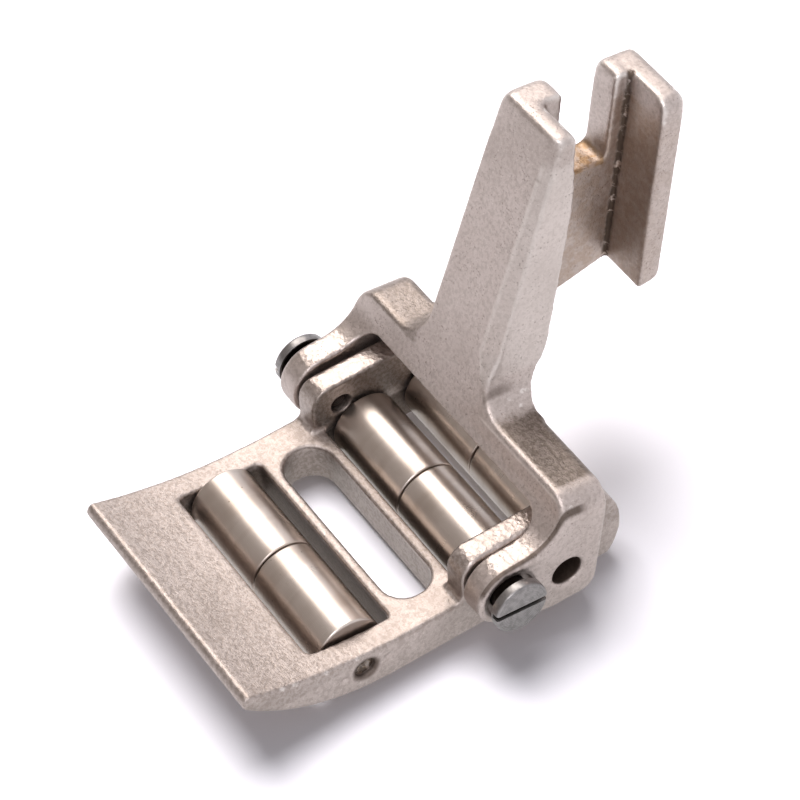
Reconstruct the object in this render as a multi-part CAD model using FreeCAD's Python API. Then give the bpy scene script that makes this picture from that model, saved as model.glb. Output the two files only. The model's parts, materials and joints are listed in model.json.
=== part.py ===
import FreeCAD, Part
import math
import os

# Roller presser foot for a sewing machine: a hinged sole with three rows of rollers,
# carried by a yoke whose shank clamps on the side of the presser bar.
# Millimetres. X is across the foot, Y runs to the heel, Z is up. The origin is the needle
# point: the middle of the needle slot, on the surface that the rollers stand on.

# Rollers and axles
roller_diameter = 5.1
roller_chamfer = 0.16
roller_split = 0.12
roller_end_play = 0.2
axle_diameter = 1.6
axle_running_clearance = 0.04
axle_recess = 0.45
front_row_to_needle = 6.0
middle_row_to_needle = 5.85
rear_row_pitch = 6.05
stake_mark_radius = 0.35
stake_mark_spacing = 1.75
stake_mark_depth = 0.22

# Sole casting
sole_width = 20.7
side_rail_width = 1.99
roller_protrusion = 0.4
plate_thickness = 3.35
toe_reach = 15.25
toe_edge_thickness = 1.15
toe_edge_bulge_depth = 0.35
toe_edge_setback = 0.3
toe_top_radius = 38.0
toe_top_bend_to_needle = 1.5
toe_bottom_bend_to_needle = 3.8
front_window_margin = 0.75
front_window_corner = 0.5
needle_slot_width = 3.72
needle_slot_length = 15.6
slot_to_rear_window = 0.85
rear_window_corner = 0.5
heel_reach = 15.1
heel_radius = 4.8
heel_middle_height = 3.0
ear_height = 7.0
ear_front_to_needle = 1.95
ear_front_radius = 1.6
ear_root_radius = 0.6
ear_edge_rounding = 0.5

# Pivot
pivot_to_needle = 4.33
pivot_height = 5.2
pivot_tip_diameter = 1.5
pivot_clearance = 0.05
pivot_tip_gap = 0.15
pivot_tip_reach = 1.5
screw_thread_diameter = 2.6
screw_head_diameter = 4.15
screw_head_proud = 1.32
screw_head_thickness = 0.75
screw_head_chamfer = 0.2
screw_slot_width = 0.42
screw_slot_depth = 0.55
screw_slot_turn = 2.0
counterbore_diameter = 3.7
counterbore_depth = 0.5

# Yoke casting, drawn upright about the pivot and then leaned back
yoke_lean = 8.25
arm_gap = 0.25
arm_thickness = 2.1
boss_radius = 2.55
arm_back_reach = 7.4
arm_back_corner = 1.4
arm_back_bottom = 2.95
arm_belly_to_pivot = 3.4
arm_belly_drop = 14.0
arm_belly_radius = 4.0
arm_access_hole_diameter = 2.4
arm_access_hole_to_pivot = 4.7
arm_access_hole_height = -0.15
crossbar_front = 3.4
crossbar_back = 7.5
crossbar_bottom = 4.3
crossbar_top = 6.5
crossbar_stop_gap = 0.04
crossbar_shoulder_radius = 1.9
crossbar_edge_radius = 0.5
fork_root_radius = 3.5
arm_top_rise = 10.0
pocket_corner_radius = 1.5
leg_top_thickness = 1.6
leg_left_top = 6.0
leg_left_base = 5.4
leg_right_top = 0.55
leg_right_base = 2.0
leg_flare = 2.6
front_rounding = 0.4
front_alignment = 0.6
leg_foot_margin = 0.4
leg_heel_to_top = 6.05
leg_bevel_angle = 27.0
leg_bevel_foot = 1.35
leg_bevel_cap = 0.75
leg_bevel_end = 0.1
leg_bevel_end_height = 1.2
leg_bevel_full_height = 3.6
leg_bevel_margin = 1.0
leg_back = 10.9
leg_foot_radius = 2.5
leg_foot_back = 9.5
leg_foot_height = 9.3
shank_top = 27.05
flange_cap_radius = 1.0
leg_cap_radius = 0.6
web_root = 1.1
web_foot_sink = 0.3
web_back = 6.1
web_thickness = 2.65
web_base_front = 7.35
web_base_rise = 2.6
bar_channel_width = 7.2
notch_width = 4.3
notch_depth = 7.7
notch_corner_radius = 0.65
notch_to_front_flange = 1.7
notch_lip_radius = 0.5
back_flange_thickness = 1.9
back_flange_right = 0.5
back_flange_bottom = 10.45
back_flange_drop = 0.35
back_flange_back_edge_radius = 0.5
back_flange_corner = 1.0
back_flange_cap_radius = 1.1

# How far a cut runs past the face that it opens
cut_overrun = 1.0

# Sizes that follow from the driving ones
roller_radius = roller_diameter / 2
axle_radius = axle_diameter / 2
axle_height = roller_radius
row_places = {
    "front": -front_row_to_needle,
    "middle": middle_row_to_needle,
    "rear": middle_row_to_needle + rear_row_pitch,
}
sides = {"left": -1, "right": 1}
half_width = sole_width / 2
window_half = half_width - side_rail_width
roller_length = window_half - roller_end_play - roller_split / 2
underside = roller_protrusion
plate_top = underside + plate_thickness
ear_top = underside + ear_height
heel_centre = heel_reach - heel_radius
arm_inner = half_width + arm_gap
arm_outer = arm_inner + arm_thickness
leg_slope = (leg_back - leg_top_thickness - crossbar_front) / (shank_top - crossbar_bottom)
back_flange_top = shank_top - back_flange_drop
beyond = 2 * sole_width


def on_side(y, z, x=0.0):
    """A point given in the side view."""
    return FreeCAD.Vector(x, y, z)


def on_front(x, z, y=0.0):
    """A point given in the front view."""
    return FreeCAD.Vector(x, y, z)


def on_plan(x, y, z=0.0):
    """A point given in the plan view."""
    return FreeCAD.Vector(x, y, z)


def rounded_outline(corners, view):
    """Closed outline through (u, v, radius) corners; a radius of 0 leaves the corner sharp."""
    ends = []
    arcs = []
    for index, (u, v, radius) in enumerate(corners):
        corner = view(u, v)
        if radius == 0:
            ends.append((corner, corner))
            arcs.append(None)
            continue
        before = view(*corners[index - 1][:2])
        after = view(*corners[(index + 1) % len(corners)][:2])
        to_before = (before - corner).normalize()
        to_after = (after - corner).normalize()
        half_angle = to_before.getAngle(to_after) / 2
        reach = radius / math.tan(half_angle)
        inward = (to_before + to_after).normalize()
        middle = corner + inward * (radius / math.sin(half_angle) - radius)
        start = corner + to_before * reach
        end = corner + to_after * reach
        ends.append((start, end))
        arcs.append(Part.Arc(start, middle, end).toShape())
    edges = []
    for index, arc in enumerate(arcs):
        if arc is not None:
            edges.append(arc)
        start = ends[index][1]
        end = ends[(index + 1) % len(ends)][0]
        edges.append(Part.makeLine(start, end))
    return Part.Wire(edges)


def prism(outline, start, length):
    """Solid swept from a flat outline moved to start, along length."""
    face = Part.Face(outline)
    face.translate(start)
    return face.extrude(length)


def side_prism(corners, x_from, x_to):
    wire = rounded_outline(corners, on_side)
    return prism(wire, FreeCAD.Vector(x_from, 0, 0), FreeCAD.Vector(x_to - x_from, 0, 0))


def front_prism(corners, y_from, y_to):
    wire = rounded_outline(corners, on_front)
    return prism(wire, FreeCAD.Vector(0, y_from, 0), FreeCAD.Vector(0, y_to - y_from, 0))


def plan_prism(corners, z_from, z_to):
    wire = rounded_outline(corners, on_plan)
    return prism(wire, FreeCAD.Vector(0, 0, z_from), FreeCAD.Vector(0, 0, z_to - z_from))


def cross_cylinder(radius, x_from, x_to, y, z):
    """Cylinder along X."""
    start = FreeCAD.Vector(x_from, y, z)
    return Part.makeCylinder(radius, x_to - x_from, start, FreeCAD.Vector(1, 0, 0))


def rectangle(left, right, front, back, radius):
    return [(left, front, radius), (right, front, radius), (right, back, radius), (left, back, radius)]


def round_ended_slot(half_length, radius, z_from, z_to):
    """Slot across the foot with round ends."""
    straight = half_length - radius
    middle = plan_prism(rectangle(-straight, straight, -radius, radius, 0), z_from, z_to)
    left = Part.makeCylinder(radius, z_to - z_from, FreeCAD.Vector(-straight, 0, z_from))
    right = Part.makeCylinder(radius, z_to - z_from, FreeCAD.Vector(straight, 0, z_from))
    return middle.fuse([left, right])


def upturn(base, radius, bend, y):
    """Height of the upturned toe at y, for a bend that starts at -bend."""
    return base + radius - math.sqrt(radius ** 2 - (y + bend) ** 2)


def upturn_radius(run, rise):
    """Radius of a bend that climbs by rise over run and starts level."""
    return (run ** 2 + rise ** 2) / (2 * rise)


def heel_edge(height):
    """How far back the round heel reaches at a height above the underside."""
    return heel_centre + math.sqrt(heel_radius ** 2 - (height - heel_middle_height) ** 2)


def sole_blank():
    """Side outline of plate, ears and heel, swept over the whole width."""
    top_end = -toe_reach + toe_edge_setback
    top_height = upturn(plate_top, toe_top_radius, toe_top_bend_to_needle, top_end)
    top_mid = (top_end - toe_top_bend_to_needle) / 2
    top_mid_height = upturn(plate_top, toe_top_radius, toe_top_bend_to_needle, top_mid)
    bottom_height = top_height - toe_edge_thickness
    bottom_run = toe_reach - toe_bottom_bend_to_needle
    bottom_radius = upturn_radius(bottom_run, bottom_height - underside)
    bottom_mid = -toe_reach + bottom_run / 2
    bottom_mid_height = upturn(underside, bottom_radius, toe_bottom_bend_to_needle, bottom_mid)
    toe_top = on_side(top_end, top_height)
    toe_top_mid = on_side(top_mid, top_mid_height)
    toe_top_start = on_side(-toe_top_bend_to_needle, plate_top)
    toe_bottom = on_side(-toe_reach, bottom_height)
    toe_bottom_mid = on_side(bottom_mid, bottom_mid_height)
    toe_bottom_start = on_side(-toe_bottom_bend_to_needle, underside)
    toe_edge = (toe_top + toe_bottom) / 2 - on_side(toe_edge_bulge_depth, 0)
    root = ear_front_to_needle - ear_root_radius
    root_middle = ear_root_radius * (1 - math.sqrt(0.5))
    front_middle = ear_front_radius * (1 - math.sqrt(0.5))
    ear_root_start = on_side(root, plate_top)
    ear_root_mid = on_side(ear_front_to_needle - root_middle, plate_top + root_middle)
    ear_root_end = on_side(ear_front_to_needle, plate_top + ear_root_radius)
    ear_front = on_side(ear_front_to_needle, ear_top - ear_front_radius)
    ear_front_mid = on_side(ear_front_to_needle + front_middle, ear_top - front_middle)
    ear_front_end = on_side(ear_front_to_needle + ear_front_radius, ear_top)
    heel_top = on_side(heel_edge(ear_height), ear_top)
    heel_mid = on_side(heel_reach, underside + heel_middle_height)
    heel_bottom = on_side(heel_edge(0), underside)
    outline = Part.Wire([
        Part.Arc(toe_bottom_start, toe_bottom_mid, toe_bottom).toShape(),
        Part.Arc(toe_bottom, toe_edge, toe_top).toShape(),
        Part.Arc(toe_top, toe_top_mid, toe_top_start).toShape(),
        Part.makeLine(toe_top_start, ear_root_start),
        Part.Arc(ear_root_start, ear_root_mid, ear_root_end).toShape(),
        Part.makeLine(ear_root_end, ear_front),
        Part.Arc(ear_front, ear_front_mid, ear_front_end).toShape(),
        Part.makeLine(ear_front_end, heel_top),
        Part.Arc(heel_top, heel_mid, heel_bottom).toShape(),
        Part.makeLine(heel_bottom, toe_bottom_start),
    ])
    return prism(outline, FreeCAD.Vector(-half_width, 0, 0), FreeCAD.Vector(sole_width, 0, 0))


def rounded_sole_blank():
    """The blank with the ears' outer top edges rounded."""
    front_view = front_prism([
        (-half_width, -beyond, 0),
        (half_width, -beyond, 0),
        (half_width, ear_top, ear_edge_rounding),
        (-half_width, ear_top, ear_edge_rounding),
    ], -beyond, beyond)
    return sole_blank().common(front_view)


def sole_openings():
    """Everything that is cut out of the sole between its side rails."""
    front_row = row_places["front"]
    window_reach = roller_radius + front_window_margin
    slot_radius = needle_slot_width / 2
    slot_end = needle_slot_length / 2
    rear_window_front = slot_radius + slot_to_rear_window
    ear_root = ear_front_to_needle - ear_root_radius
    between_ears = side_prism(
        rectangle(ear_root, heel_reach + cut_overrun, plate_top, ear_top + cut_overrun, 0),
        -window_half, window_half)
    front_window = plan_prism(
        rectangle(-window_half, window_half, front_row - window_reach, front_row + window_reach,
                  front_window_corner), underside - cut_overrun, ear_top)
    rear_window = plan_prism(
        [
            (-window_half, rear_window_front, rear_window_corner),
            (window_half, rear_window_front, rear_window_corner),
            (window_half, heel_reach + cut_overrun, 0),
            (-window_half, heel_reach + cut_overrun, 0),
        ],
        underside - cut_overrun, ear_top)
    needle_slot = round_ended_slot(slot_end, slot_radius, underside - cut_overrun, ear_top)
    return [between_ears, front_window, rear_window, needle_slot]


def stake_marks(y):
    """Punch marks beside an axle end in the right side face."""
    marks = []
    for step in (-stake_mark_spacing, stake_mark_spacing):
        centre_x = half_width + stake_mark_radius - stake_mark_depth
        marks.append(Part.makeSphere(stake_mark_radius, FreeCAD.Vector(centre_x, y + step, axle_height)))
    return marks


def sole_plate():
    cuts = sole_openings()
    for y in row_places.values():
        cuts.append(cross_cylinder(axle_radius, -beyond, beyond, y, axle_height))
    cuts += stake_marks(row_places["front"])
    bore_radius = pivot_tip_diameter / 2 + pivot_clearance
    cuts.append(cross_cylinder(bore_radius, -beyond, beyond, pivot_to_needle, pivot_height))
    return rounded_sole_blank().cut(cuts)


def roller(y, side):
    """Hollow roller on one side of the split."""
    inner = roller_split / 2
    body = cross_cylinder(roller_radius, inner, inner + roller_length, y, axle_height)
    rims = [edge for edge in body.Edges if edge.Closed]
    body = body.makeChamfer(roller_chamfer, rims)
    bore = cross_cylinder(axle_radius + axle_running_clearance, 0, beyond, y, axle_height)
    shape = body.cut(bore)
    if side < 0:
        shape = shape.mirror(FreeCAD.Vector(0, 0, 0), FreeCAD.Vector(1, 0, 0))
    return shape


def axle(y):
    end = half_width - axle_recess
    return cross_cylinder(axle_radius, -end, end, y, axle_height)


def lean(shape):
    """Moves a shape drawn upright about the pivot to its place on the foot."""
    placed = shape.copy()
    placed.rotate(FreeCAD.Vector(0, 0, 0), FreeCAD.Vector(1, 0, 0), -yoke_lean)
    placed.translate(FreeCAD.Vector(0, pivot_to_needle, pivot_height))
    return placed


def leg_front_at(z):
    return crossbar_front + leg_slope * (z - crossbar_bottom)


def stop_plane_at(y):
    """Upright height of the ear tops at y, for the leaned yoke."""
    angle = math.radians(yoke_lean)
    rest = ear_top - pivot_height + crossbar_stop_gap
    return (rest + y * math.sin(angle)) / math.cos(angle)


def boss_tangent_end(angle, side):
    """Where a side of the arm leaves the boss; side is 1 above the pivot and -1 below it."""
    return on_side(-boss_radius * math.sin(angle), side * boss_radius * math.cos(angle))


def boss_tangent_at(y, angle, side):
    """Height at y of a side of the arm that leaves the boss at this angle."""
    return side * (boss_radius / math.cos(angle) + y * math.tan(angle))


def fork_pocket():
    """Room for the sole's ears between the arms, closed by the stop face behind the pivot."""
    under_slope = crossbar_front + (crossbar_bottom - stop_plane_at(crossbar_front))
    side_view = side_prism([
        (-beyond, -beyond, 0),
        (beyond, -beyond, 0),
        (beyond, stop_plane_at(beyond), 0),
        (under_slope, stop_plane_at(under_slope), 0),
        (crossbar_front, crossbar_bottom, 0),
        (-beyond, crossbar_bottom, 0),
    ], -arm_inner, arm_inner)
    front_view = front_prism([
        (-arm_inner, -beyond, 0),
        (arm_inner, -beyond, 0),
        (arm_inner, crossbar_bottom, pocket_corner_radius),
        (-arm_inner, crossbar_bottom, pocket_corner_radius),
    ], -beyond, beyond)
    return side_view.common(front_view)


def fork():
    """Crossbar and both arms with their bosses."""
    rise = math.radians(arm_top_rise)
    drop = math.radians(arm_belly_drop)
    top_end = boss_tangent_end(rise, 1)
    bottom_end = boss_tangent_end(drop, -1)
    front_lean = leg_front_at(0)
    root_front = (front_lean + leg_slope * boss_radius / math.cos(rise)) / (1 - leg_slope * math.tan(rise))
    side_view = side_prism([
        (bottom_end.y, bottom_end.z, 0),
        (arm_belly_to_pivot, boss_tangent_at(arm_belly_to_pivot, drop, -1), arm_belly_radius),
        (arm_back_reach, -arm_back_bottom, arm_back_corner),
        (crossbar_back, crossbar_top, crossbar_edge_radius),
        (leg_front_at(crossbar_top), crossbar_top, 0),
        (root_front, boss_tangent_at(root_front, rise, 1), fork_root_radius),
        (top_end.y, top_end.z, 0),
    ], -arm_outer, arm_outer)
    bosses = cross_cylinder(boss_radius, -arm_outer, arm_outer, 0, 0)
    front_view = front_prism([
        (-arm_outer, -beyond, 0),
        (arm_outer, -beyond, 0),
        (arm_outer, crossbar_top, crossbar_shoulder_radius),
        (-arm_outer, crossbar_top, crossbar_shoulder_radius),
    ], -beyond, beyond)
    return side_view.fuse(bosses).common(front_view).cut(fork_pocket())


def leg():
    """Sloped leg that rises from the crossbar, flares into it, and becomes the front flange."""
    side_view = side_prism([
        (crossbar_front, crossbar_bottom, 0),
        (leg_front_at(shank_top), shank_top, 0),
        (leg_back, shank_top, crossbar_edge_radius),
        (leg_back, shank_top - leg_heel_to_top, leg_foot_radius),
        (leg_foot_back, leg_foot_height, leg_foot_radius),
        (crossbar_back, crossbar_top, leg_foot_radius / 2),
        (crossbar_back, crossbar_bottom, 0),
    ], -beyond, beyond)
    left_foot = -leg_left_base - leg_flare - leg_foot_margin
    right_foot = leg_right_base + leg_flare + leg_foot_margin
    front_view = front_prism([
        (left_foot, crossbar_bottom, 0),
        (left_foot, crossbar_top, 0),
        (-leg_left_base, crossbar_top, leg_flare),
        (-leg_left_top, shank_top, flange_cap_radius),
        (leg_right_top, shank_top, leg_cap_radius),
        (leg_right_base, crossbar_top, leg_flare),
        (right_foot, crossbar_top, 0),
        (right_foot, crossbar_bottom, 0),
    ], 0, beyond)
    return side_view.common(front_view)


def leg_right_at(z):
    share = (z - crossbar_top) / (shank_top - crossbar_top)
    return leg_right_base + share * (leg_right_top - leg_right_base)


def leg_bevel():
    """Wedge cut from the leg's front right edge: wide above the foot, narrower at the cap."""
    slope = math.tan(math.radians(leg_bevel_angle))
    sections = []
    for z, width in (
        (crossbar_top + leg_bevel_end_height, leg_bevel_end),
        (crossbar_top + leg_bevel_full_height, leg_bevel_foot),
        (shank_top, leg_bevel_cap),
    ):
        right = leg_right_at(z)
        front = leg_front_at(z)
        back = front + (width + leg_bevel_margin) * slope
        wire = rounded_outline([
            (right - width, front, 0),
            (right - width, front - leg_bevel_margin, 0),
            (right + leg_bevel_margin, front - leg_bevel_margin, 0),
            (right + leg_bevel_margin, back, 0),
        ], on_plan)
        wire.translate(FreeCAD.Vector(0, 0, z))
        sections.append(wire)
    return Part.makeLoft(sections, True, True)


def faces_forward(face):
    """True for the sloped front face of leg and crossbar and the curve below it."""
    u_from, u_to, v_from, v_to = face.ParameterRange
    normal = face.normalAt((u_from + u_to) / 2, (v_from + v_to) / 2)
    slope = FreeCAD.Vector(0, -1, leg_slope).normalize()
    return normal.dot(slope) > front_alignment and face.CenterOfMass.z > boss_radius / 2


def rounded_front(shape):
    """Rounds the outline of the front face, from the leg's cap down to the arms."""
    rim = []
    for face in filter(faces_forward, shape.Faces):
        for edge in face.Edges:
            middle = edge.CenterOfMass
            level = edge.BoundBox.ZLength < front_rounding
            on_arm = abs(middle.x) > arm_inner and not level
            above_crossbar = middle.z > crossbar_top - front_rounding / 2
            if on_arm or above_crossbar:
                rim.append(edge)
    return shape.makeFillet(front_rounding, rim)


def web_cap(top, y_from, y_to):
    """Space below a height, with its outer top corner rounded."""
    return front_prism([
        (-web_back, 0, 0),
        (0, 0, 0),
        (0, top, 0),
        (-web_back, top, flange_cap_radius),
    ], y_from, y_to)


def web():
    """Plate beside the presser bar, open at the top for the clamp screw."""
    back = leg_back + bar_channel_width
    notch_front = leg_back + notch_to_front_flange
    notch_middle = notch_front + notch_width / 2
    base_slope = web_base_rise / bar_channel_width
    foot = crossbar_back - web_foot_sink
    blank = side_prism([
        (foot, web_base_front - (leg_back - foot) * base_slope, 0),
        (back, web_base_front + web_base_rise, 0),
        (back, shank_top, 0),
        (leg_back - web_root, shank_top, 0),
    ], -web_back, -web_back + web_thickness)
    notch = side_prism([
        (notch_front, shank_top - notch_depth, notch_corner_radius),
        (notch_front + notch_width, shank_top - notch_depth, notch_corner_radius),
        (notch_front + notch_width, shank_top + cut_overrun, 0),
        (notch_front, shank_top + cut_overrun, 0),
    ], -beyond, beyond)
    caps = web_cap(shank_top, 0, notch_middle).fuse(web_cap(back_flange_top, notch_middle, beyond))
    capped = blank.common(caps)
    notched = capped.cut(notch)
    lips = []
    for edge in notched.Edges:
        middle = edge.CenterOfMass
        upright = edge.BoundBox.ZLength > notch_depth / 2 and edge.BoundBox.XLength < notch_corner_radius / 2
        beside_notch = notch_front - cut_overrun / 2 < middle.y < notch_front + notch_width + cut_overrun / 2
        if upright and beside_notch and middle.x < -web_back + web_thickness / 2:
            lips.append(edge)
    return notched.makeFillet(notch_lip_radius, lips)


def back_flange():
    front = leg_back + bar_channel_width
    side_view = side_prism([
        (front, back_flange_bottom - back_flange_corner / 2, 0),
        (front + back_flange_thickness, back_flange_bottom, back_flange_corner),
        (front + back_flange_thickness, back_flange_top, crossbar_edge_radius),
        (front, back_flange_top, crossbar_edge_radius / 2),
    ], -beyond, beyond)
    front_view = front_prism([
        (-web_back, 0, 0),
        (back_flange_right, 0, 0),
        (back_flange_right, back_flange_top, back_flange_cap_radius),
        (-web_back, back_flange_top, flange_cap_radius),
    ], 0, beyond)
    back = front + back_flange_thickness
    plan_view = plan_prism([
        (-web_back, front, 0),
        (back_flange_right, front, 0),
        (back_flange_right, back, back_flange_back_edge_radius),
        (-web_back, back, back_flange_back_edge_radius),
    ], 0, beyond)
    return side_view.common(front_view).common(plan_view)


def yoke_shank():
    front = rounded_front(fork().fuse(leg()).removeSplitter()).cut(leg_bevel())
    shape = front.fuse([web(), back_flange()]).removeSplitter()
    cuts = [cross_cylinder(screw_thread_diameter / 2, -beyond, beyond, 0, 0)]
    for side in sides.values():
        start = min(side * (arm_outer - counterbore_depth), side * beyond)
        end = max(side * (arm_outer - counterbore_depth), side * beyond)
        cuts.append(cross_cylinder(counterbore_diameter / 2, start, end, 0, 0))
    hole_radius = arm_access_hole_diameter / 2
    cuts.append(cross_cylinder(hole_radius, 0, beyond, arm_access_hole_to_pivot, arm_access_hole_height))
    return lean(shape.cut(cuts))


def pivot_screw(side):
    """Slotted screw, threaded in the arm, with a plain tip that carries the sole's ear."""
    head_end = arm_outer + screw_head_proud
    tip_start = arm_inner - pivot_tip_gap
    head_start = head_end - screw_head_thickness
    head = cross_cylinder(screw_head_diameter / 2, head_start, head_end, 0, 0)
    rim = [edge for edge in head.Edges if edge.Closed and edge.CenterOfMass.x > head_start]
    head = head.makeChamfer(screw_head_chamfer, rim)
    thread = cross_cylinder(screw_thread_diameter / 2, arm_inner, head_start, 0, 0)
    tip = cross_cylinder(pivot_tip_diameter / 2, tip_start - pivot_tip_reach, arm_inner, 0, 0)
    half_slot = screw_slot_width / 2
    slot = side_prism(rectangle(-beyond, beyond, -half_slot, half_slot, 0),
                      head_end - screw_slot_depth, beyond)
    slot.rotate(FreeCAD.Vector(0, 0, 0), FreeCAD.Vector(1, 0, 0), screw_slot_turn)
    shape = head.fuse([thread, tip]).cut(slot)
    if side < 0:
        shape = shape.mirror(FreeCAD.Vector(0, 0, 0), FreeCAD.Vector(1, 0, 0))
    return lean(shape)


def write(name, shape):
    solids = shape.Solids
    if len(solids) != 1 or not solids[0].isValid():
        raise ValueError(name + " is not one valid solid")
    solids[0].exportStep("parts/" + name + ".step")
    print(name, round(solids[0].Volume, 2))


write("sole_plate", sole_plate())
write("yoke_shank", yoke_shank())
for row_name, row_y in row_places.items():
    write("axle_" + row_name, axle(row_y))
    for side_name, side_sign in sides.items():
        write("roller_" + row_name + "_" + side_name, roller(row_y, side_sign))
for side_name, side_sign in sides.items():
    write("pivot_screw_" + side_name, pivot_screw(side_sign))
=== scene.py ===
"""Roller presser foot: finishes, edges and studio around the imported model."""

import json
import math
from functools import partial

import bmesh
import bpy
from mathutils import Matrix, Vector


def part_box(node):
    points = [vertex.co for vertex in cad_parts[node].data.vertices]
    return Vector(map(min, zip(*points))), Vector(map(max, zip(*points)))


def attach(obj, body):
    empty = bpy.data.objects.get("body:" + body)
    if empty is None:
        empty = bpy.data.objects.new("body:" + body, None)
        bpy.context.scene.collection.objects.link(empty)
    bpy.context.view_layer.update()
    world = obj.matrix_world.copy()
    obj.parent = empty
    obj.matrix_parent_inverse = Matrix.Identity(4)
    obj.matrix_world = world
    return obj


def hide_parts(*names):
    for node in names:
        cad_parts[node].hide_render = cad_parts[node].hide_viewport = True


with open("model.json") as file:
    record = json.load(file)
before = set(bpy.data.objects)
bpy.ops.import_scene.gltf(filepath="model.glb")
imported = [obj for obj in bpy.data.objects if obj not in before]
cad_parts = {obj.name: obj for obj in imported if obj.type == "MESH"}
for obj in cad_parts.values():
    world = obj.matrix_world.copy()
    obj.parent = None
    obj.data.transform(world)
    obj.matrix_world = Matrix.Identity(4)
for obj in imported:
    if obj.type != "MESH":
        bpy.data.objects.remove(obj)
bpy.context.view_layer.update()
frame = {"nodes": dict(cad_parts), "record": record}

bl_info = {
    "name": "Roller Presser Foot",
    "version": (1, 0, 0),
    "blender": (4, 5, 0),
    "location": "3D View > Sidebar > Presser Foot",
    "description": "Casts, rollers, screws and studio for a roller presser foot",
    "category": "Add Mesh",
}

MM = 0.001
ROWS = ("front", "middle", "rear")
SIDES = ("left", "right")
LEAN = 8.25

# Meshes: what counts as one place, as square on and as outermost, and how pieces are shaped
SAME_PLACE = 0.01 * MM
WELD = 0.001 * MM
SQUARE_ON = 0.9
OUTERMOST = 0.98
ROLLER_SIDES = 128
SCREW_SIDES = 96
AXLE_SIDES = 48
BORE_PLAY = 0.04 * MM
STAKE_RIM = 0.3
STAKE_SLOPE = 0.35
STAKE_DEPTH = 0.12 * MM
SLOT_BEVEL = 0.035 * MM
RIPPLE_SIZE = 1.2 * MM
RIPPLE_MIDDLE = 0.62
SHORT_EDGE_SHARE = 0.4

# Studio: the table turns plain white between two distances from the foot, in millimetres
TABLE_SIZE = 3.0
TABLE_DROP = 0.1 * MM
TABLE_FADE = (100, 300)
LAMP_AIM = (0.0, 5.0 * MM, 10.0 * MM)
DIM_SIDE = (-0.55, -0.75, 0.36)
DIM_FADE = (0.35, 0.92)

# Cast nickel: its middle roughness, and the height of its grains in millimetres
CAST_ROUGHNESS = 0.44
CAST_BUMP = 0.045

# Pointiness, which is 0.5 on flat ground
WORN_EDGE = (0.535, 0.63)
# Edges above this are lightened for wear and with a painted highlight.
RUBBED_AND_HIGHLIT_EDGE = (0.505, 0.54)
# Hollows below this are darkened with painted shade.
CREVICE_SHADE = (0.38, 0.475)

# Masks on the sole rise or fall between two places, in millimetres
TOE_EDGE = (-16.6, -15.8)
FRONT_WINDOW = (-9.0, -8.75)
NEEDLE_SLOT = (2.0, 2.2)
WINDOW_SIDES = (8.45, 8.65)
BELOW_PLATE_TOP = (3.1, 3.6)
UPPER_SOLE = (3.3, 3.7)
ABOVE_PLATE = (3.8, 4.3)
EAR_TOP = (6.9, 7.2)
EAR_INSIDE = (7.0, 7.4)
EAR_FOOT = (3.6, 4.0)
EAR_FRONT = (0.6, 1.2)
AXLE_DIRT = (0.90, 1.25)
BEYOND_AXLE = (-0.1, 0.2)

# The same on the yoke, from the pivot with the shank upright; between four places they rise and fall
CROSSBAR_TOP = (6.1, 6.4, 7.6, 8.4)
CROSSBAR_BACK = (4.1, 4.5)
CROSSBAR_LEFT = (-6.2, -5.4)
CROSSBAR_RIGHT = (3.4, 4.4)
CROSSBAR_END = (10.6, 11.0)
NOTCH_FRONT = (12.9, 13.4)
NOTCH_BACK = (16.7, 17.0)
NOTCH_FLOOR = (18.9, 19.2)
NOTCH_STAIN_TOP = (20.2, 20.9)
NOTCH_RIGHT = (-3.2, -3.0)
CHANNEL_FRONT = (11.6, 12.4)
CHANNEL_FOOT = (7.5, 8.5)
CHANNEL_WIDTH = (-3.7, -3.5, 0.0, 0.8)
CORNER_LINE = (-3.45, 18.1)
CORNER_LINE_WIDTH = (0.18, 0.46)
CORNER_FOOT = (8.0, 10.0)
BOSS_BACK = (1.6, 2.6)
BOSS_TOP = (1.9, 2.3)
ACCESS_HOLE = (4.7, -0.15)
ACCESS_HOLE_RIM = (1.30, 1.38)
ACCESS_HOLE_SIDE = (0.0, 1.0)
ARM_EDGE_HEIGHT = (0.4, 1.2, 6.0, 6.6)
ARM_EDGE_BACK = (5.0, 6.0)
TOP_CORNER_LEFT = (2.2, 3.0)
TOP_CORNER_HEIGHT = (5.95, 6.15, 7.6, 8.2)
TOP_CORNER_BACK = (3.75, 3.95)
CAP_FOOT = (24.6, 25.2)

# How far in from the near arm's outer face three of the masks reach
ACCESS_HOLE_MOUTH = (0.35, 0.10)
ARM_EDGE_INSET = (0.48, 0.36, 0.20, 0.06)
TOP_CORNER_INSET = (1.0, 0.7)

# The leg, in the same frame: its right edge leans in, and its bevel starts above the foot
LEG_FOOT = 6.5
LEG_RIGHT = 2.0
LEG_TAPER = 0.0706
BEVEL_WIDTH = 1.477
BEVEL_TAPER = 0.0354
BEVEL_RISE = 0.521
BEVEL_START = 0.525
LEG_HEIGHT = (7.8, 9.0, 24.5, 25.5)
LEG_BACK = (10.5, 11.0)
# Painted highlight lines along the leg's bevel and right edge.
BEVEL_LINE = (0.04, 0.34)
EDGE_LINE = (0.05, 0.22)
EDGE_LINE_INSET = 0.12
STRIP_LEFT = (-0.1, 0.1)
STRIP_RIGHT = (-0.1, 0.0)
# Painted shade line beside the leg's foot, standing for a groove.
GROOVE_OFFSET = 0.30
GROOVE_WIDTH = (0.05, 0.25)
GROOVE_HEIGHT = (7.0, 7.4, 9.5, 13.0)
GROOVE_BACK = (5.5, 7.0)

# Depths under the ends of axles and screws, step of the turned rings, radius inside a head's rim
AXLE_END = (0.20, 0.04)
RING_STEP = 0.17
SLOT_FLOOR = (0.32, 0.14)
HEAD_NECK = (0.85, 0.70)
HEAD_RIM = (1.90, 1.96)


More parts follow.
